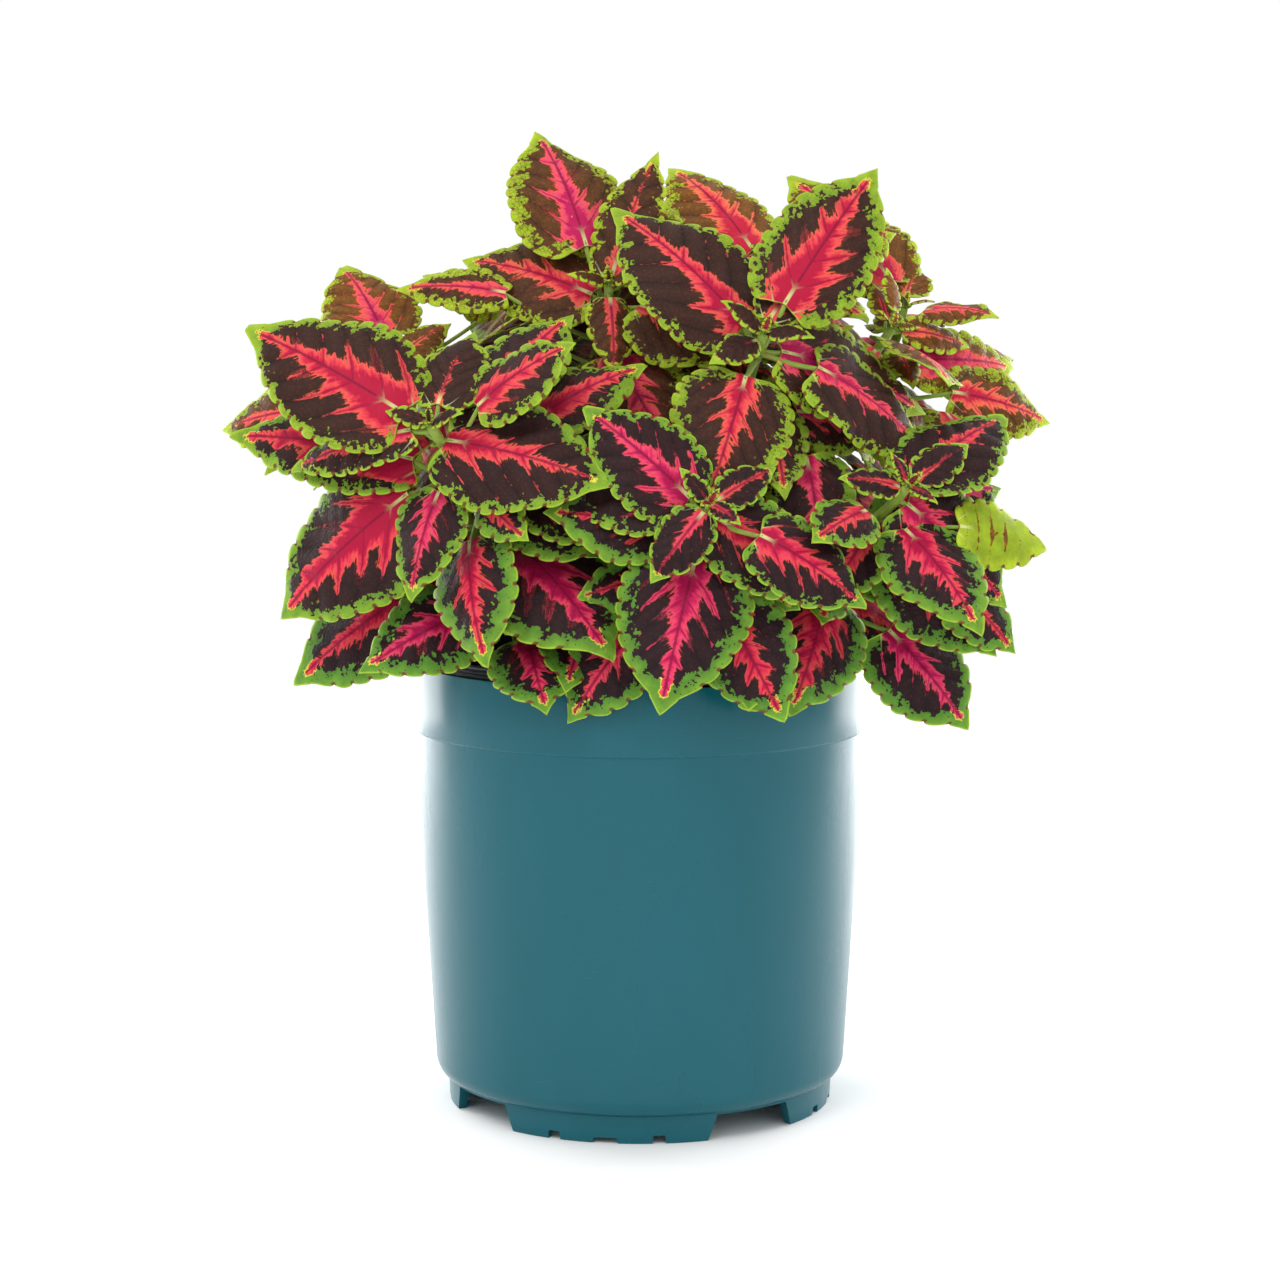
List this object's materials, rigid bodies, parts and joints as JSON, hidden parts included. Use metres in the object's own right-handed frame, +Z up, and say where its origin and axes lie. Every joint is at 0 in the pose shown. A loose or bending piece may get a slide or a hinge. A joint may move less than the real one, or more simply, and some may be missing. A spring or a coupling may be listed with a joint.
{
  "type": "potted coleus plant",
  "caption": "Bushy coleus with scalloped red and green leaves on leafy stems, standing in a round plastic nursery pot with a notched foot ring.",
  "frame": {"origin": "on the pot's axis, in the plane that the pot stands on", "axes": "+Z up along the pot's axis; -Y towards the side that the picture shows"},
  "size_m": [0.3017, 0.2213, 0.3488],
  "materials": {
    "pot_plastic": "satin teal moulded polypropylene with a dark lip",
    "potting_mix": null,
    "coleus_leaf": null
  },
  "bodies": {
    "root": {"pot": "pot_plastic", "potting_mix": "potting_mix", "stem_left": "coleus_leaf", "stem_top": "coleus_leaf", "stem_right_top": "coleus_leaf", "stem_front": "coleus_leaf", "stem_right": "coleus_leaf", "stem_right_back": "coleus_leaf", "stem_left_back": "coleus_leaf", "stem_back_top": "coleus_leaf", "stem_back_right": "coleus_leaf", "stem_back_mid": "coleus_leaf", "stem_back_left": "coleus_leaf", "stem_back_low": "coleus_leaf"}
  },
  "joints": []
}
